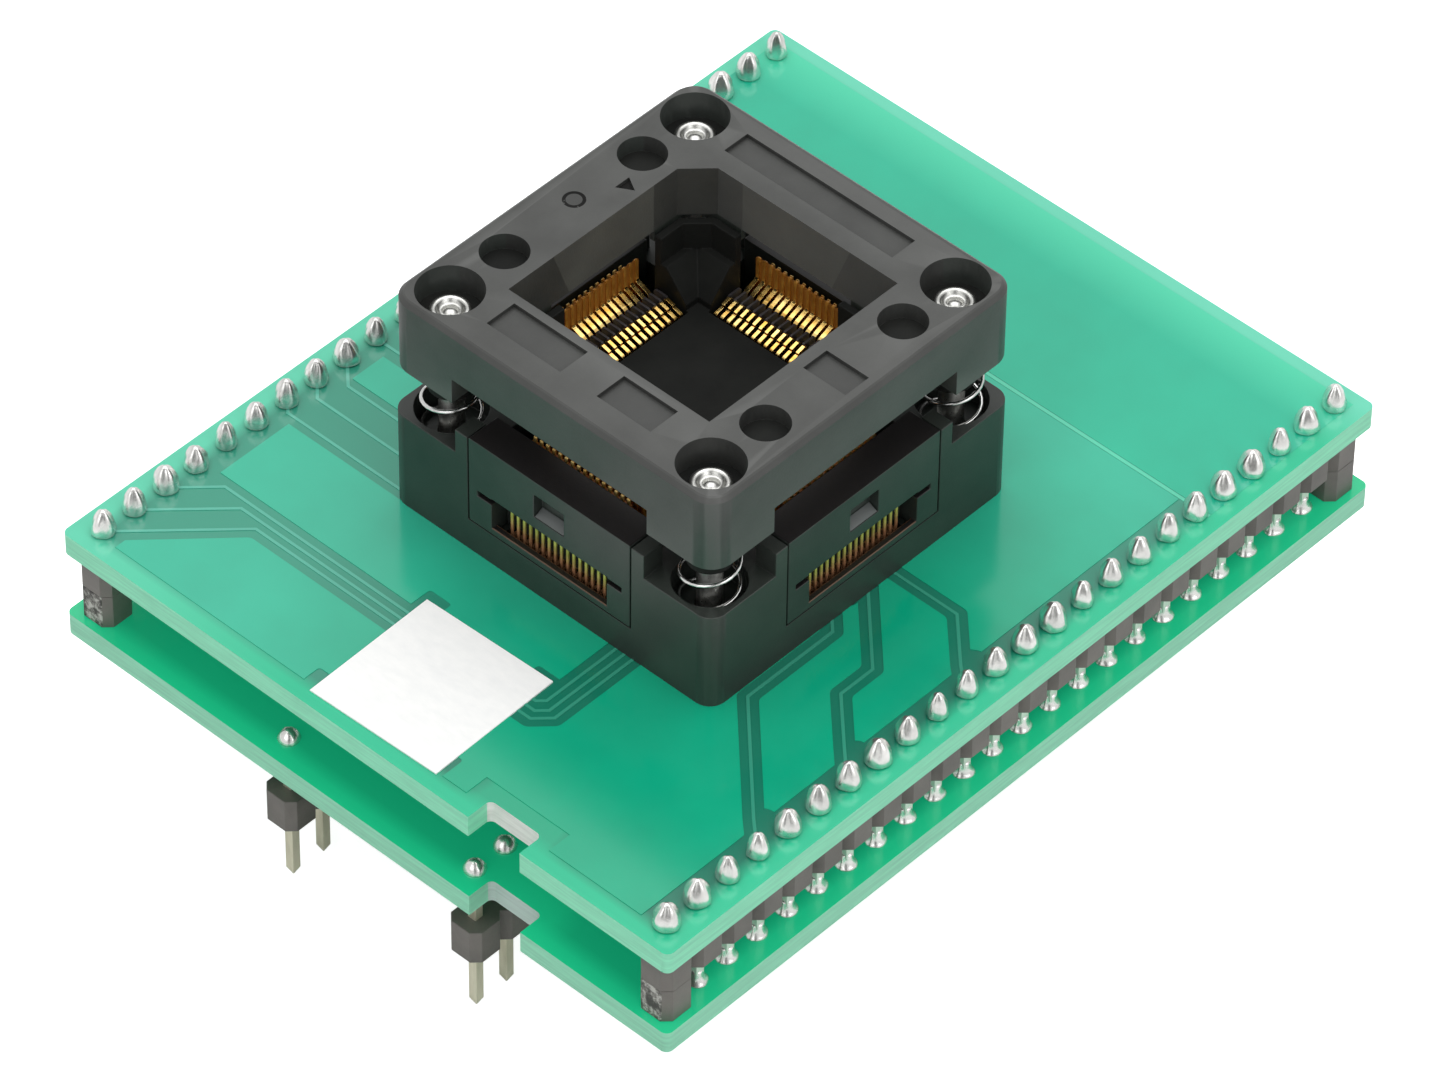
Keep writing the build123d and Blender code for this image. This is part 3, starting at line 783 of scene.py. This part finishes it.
def side_pieces(side, angle):
    place = side_frame(angle)
    arms = f"arms_{side}"

    def row(name, strips, material, body, slot, bevel=None):
        """One piece of strips (outline, places along the row, half width)."""
        build = Build()
        for outline, places, half in strips:
            for middle in places:
                build.prism(outline, place, middle, half)
        return build.make(f"{name}_{side}", mat[material], body, slot=slot, bevel=bevel)

    lower_strips = [(lower_outline, CONTACT_PLACES, LOWER_HALF), (tail_outline, CONTACT_PLACES, TAIL_HALF)]
    lower = row("lower_contacts", lower_strips, "gold", "adapter", "contact_gold", 0.025)
    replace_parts(lower, f"fixed_contacts_{side}")
    upper_strips = [(arm_outline, CONTACT_PLACES, ARM_HALF), (bend_outline, CONTACT_PLACES, BEND_HALF)]
    upper = row("upper_contacts", upper_strips, "gold", arms, "contact_gold", 0.03)
    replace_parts(upper, f"contact_arms_{side}")
    row("nest_comb", [(comb_outline, comb_places, COMB_HALF)], "comb", "adapter", "base_plastic", 0.03)
    stem_strips = [(stem_outline, CONTACT_PLACES, STEM_HALF)]
    row("outer_stems", stem_strips, "gold", "adapter", "contact_gold", 0.03)
    # Painted reflection: a brown strip behind the fingers stands for the arms' reflection on the wall.
    row("arm_carrier", [(arm_reflection_outline, [0], ROW_HALF)], "brown_backing", arms, "base_plastic")
    row("stem_holder", [(holder_outline, [0], ROW_HALF)], "brown_backing", "adapter", "base_plastic")
    row("window_lips", [(lip_outline, (-LIP_MIDDLE, LIP_MIDDLE), LIP_HALF)], "base", "cover", "cover_plastic")
    row("latch_ledge", [(latch_outline, [0], LATCH_HALF)], "ledge", "adapter", "base_plastic", 0.04)


for side, angle in SIDES.items():
    side_pieces(side, angle)


# Return springs, which the cover squashes on the pocket floors
COIL_RADIUS, WIRE_RADIUS = 1.8, 0.13
TURNS, STEPS_PER_TURN, WIRE_SIDES, FIRST_ANGLE = 2.7, 28, 8, 36


def spring_piece(name, x, y):
    foot = (SOCKET[0] + x, SOCKET[1] + y, TOP + POCKET_FLOOR)
    length = LEG_LOW - POCKET_FLOOR
    low, high = WIRE_RADIUS, length - WIRE_RADIUS
    total = round(TURNS * STEPS_PER_TURN)
    upward = Vector((0, 0, 1))
    around = [2 * math.pi * j / WIRE_SIDES for j in range(WIRE_SIDES)]
    rings = []
    for k in range(total + 1):
        t = k / total
        angle = 2 * math.pi * TURNS * t + math.radians(FIRST_ANGLE)
        out = Vector((math.cos(angle), math.sin(angle), 0))
        middle = Vector(foot) + out * COIL_RADIUS + upward * (low + (high - low) * t)
        rings.append([tuple(middle + (out * math.cos(a) + upward * math.sin(a)) * WIRE_RADIUS) for a in around])
    build = Build()
    build.rings(rings)
    piece = build.make(f"coil_{name}", mat["wire"], "adapter", slot="spring_steel", smooth=True)
    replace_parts(piece, f"spring_{name}")
    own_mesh(piece)


for end, end_sign in (("front", -1), ("back", 1)):
    for row, direction in ROWS:
        spring_piece(f"{end}_{row}", end_sign * POST, direction * POST)


# Riveted guide pins, and the bosses under the cover's legs that centre the springs
def at_posts(name, profile, segments, material, slot, **settings):
    build = Build()
    for post in POSTS:
        build.lathe(post, profile, segments)
    return build.make(name, mat[material], "cover", slot=slot, **settings)


HEAD = COVER_TOP - 2.0
rivet = [(0.0, 4.0), (1.4, 4.0), (1.35, 4.2), (0.8, 4.55)]
rivet += [(radius, HEAD + height) for radius, height in (
    (0.8, 0.0), (1.2, 0.05), (1.3, 0.25), (1.28, 0.45), (1.12, 0.6), (0.95, 0.62),
    (0.8, 0.52), (0.72, 0.34), (0.45, 0.3), (0.4, 0.42), (0.0, 0.44),
)]
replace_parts(at_posts("riveted_pins", rivet, 36, "steel", "rivet_steel", smooth=True), "guide_pins")
at_posts("leg_bosses", [(1.3, 9.0), (1.45, 9.15), (1.45, 11.2)], 32, "nest", "cover_plastic", bevel=0.04)

# CAD nodes that stay as they are
for row, _ in ROWS:
    dress(f"plug_strip_{row}", mat["header"], 0.06)
    dress(f"link_strip_{row}", mat["header"], 0.06)
    dress(f"plug_pins_{row}", mat["pins"], 0.05)
    dress(f"link_pins_{row}", mat["link_pins"], 0.04)
dress("link_spacers", mat["header"], 0.06)
dress("top_board", mat["top_board"], 0.05)
dress("bottom_board", mat["bottom_board"], 0.05)
dress("label_sticker", mat["label"])
dress("socket_base", mat["base"], 0.12, 3)
dress("nest", mat["nest"], 0.06)
dress("cover", mat["cover"], 0.14, 3)
for side in SIDES:
    dress(f"side_plate_{side}", mat["plate"], 0.08)

# Camera, fitted to the photo
right = Vector((0.683325, -0.730043, 0.010214))
up = Vector((0.510376, 0.487625, 0.708335))
back = Vector((-0.522096, -0.47881, 0.705803))
eye = Vector((-283.655, -259.901, 395.683)) * MM
camera_data = bpy.data.cameras.new("camera")
camera_data.sensor_width = 36
camera_data.lens = 226.04
camera_data.clip_start = 0.01
camera_data.clip_end = 10
camera = bpy.data.objects.new("camera", camera_data)
camera.matrix_world = Matrix((*zip(right, up, back, eye), (0, 0, 0, 1)))
bpy.context.scene.collection.objects.link(camera)
bpy.context.scene.camera = camera
bpy.context.scene.view_settings.view_transform = "Standard"

# World: dim for the light that falls on the model, white for the camera's rays and for reflections.
# The level directions of a dark card, which stands where the camera does: to its right, and towards it.
CARD_RIGHT, CARD_TOWARD = (0.676, -0.737), (-0.737, -0.676)
CARD_HALF = 0.15  # half its width, as seen from one length away
CARD_DARKNESS = 0.85
SKY_STRENGTH = 0.62
world = bpy.data.worlds.new("studio")
bpy.context.scene.world = world
world.use_nodes = True
sky = Graph(world.node_tree)
rays = sky.add("ShaderNodeLightPath").outputs


def along(direction, x, y):
    return sky.math("ADD", sky.product(x, direction[0]), sky.product(y, direction[1]))


def card_strength():
    """1, and near 0 in reflections of an upright dark card on the camera's side, which draws a line on each cone."""
    split = sky.add("ShaderNodeSeparateXYZ")
    sky.join(sky.add("ShaderNodeTexCoord").outputs["Generated"], split.inputs[0])
    x, y, _ = split.outputs
    near_middle = sky.math("LESS_THAN", sky.math("ABSOLUTE", along(CARD_RIGHT, x, y)), CARD_HALF)
    toward = sky.math("GREATER_THAN", along(CARD_TOWARD, x, y), 0.0)
    card = sky.product(near_middle, toward, rays["Is Glossy Ray"])
    return sky.math("MULTIPLY_ADD", card, -CARD_DARKNESS, 1.0)


light = world.node_tree.nodes["Background"]
light.inputs["Color"].default_value = (1, 1, 1, 1)
light.inputs["Strength"].default_value = SKY_STRENGTH
white = sky.add("ShaderNodeBackground")
sky.feed(white.inputs["Strength"], card_strength())
blend = sky.add("ShaderNodeMixShader")
sky.join(sky.math("MAXIMUM", rays["Is Camera Ray"], rays["Is Glossy Ray"]), blend.inputs[0])
sky.join(light.outputs[0], blend.inputs[1])
sky.join(white.outputs[0], blend.inputs[2])
sky.join(blend.outputs[0], world.node_tree.nodes["World Output"].inputs["Surface"])

# Floor, lit up for the camera so that it shows as white paper
FLOOR_HALF, FLOOR_GLOW = 900, 0.8
floor_shader = Shader("studio_floor")
floor_rays = floor_shader.add("ShaderNodeLightPath").outputs
floor_shader.set("Base Color", (0.82, 0.82, 0.82, 1))
floor_shader.set("Roughness", 0.9)
floor_shader.set("Emission Color", (1, 1, 1, 1))
floor_shader.set("Emission Strength", floor_shader.product(floor_rays["Is Camera Ray"], FLOOR_GLOW))
floor_points = [(x, y, 0) for x, y in rectangle(-FLOOR_HALF, FLOOR_HALF, FLOOR_HALF)]
new_object("floor", floor_points, [(0, 1, 2, 3)], floor_shader.material)


def area_light(name, place, size, power):
    """A square lamp that faces the origin; lengths in metres."""
    data = bpy.data.lights.new(name, "AREA")
    data.size = size
    data.energy = power
    lamp = bpy.data.objects.new(name, data)
    lamp.location = place
    lamp.rotation_euler = (-Vector(place)).to_track_quat("-Z", "Y").to_euler()
    bpy.context.scene.collection.objects.link(lamp)


area_light("overhead", (0.05, 0.05, 0.6), size=0.7, power=2.2)
area_light("front_left", (-0.55, -0.1, 0.35), size=0.4, power=0.5)
area_light("front_right", (-0.05, -0.55, 0.35), size=0.4, power=0.7)
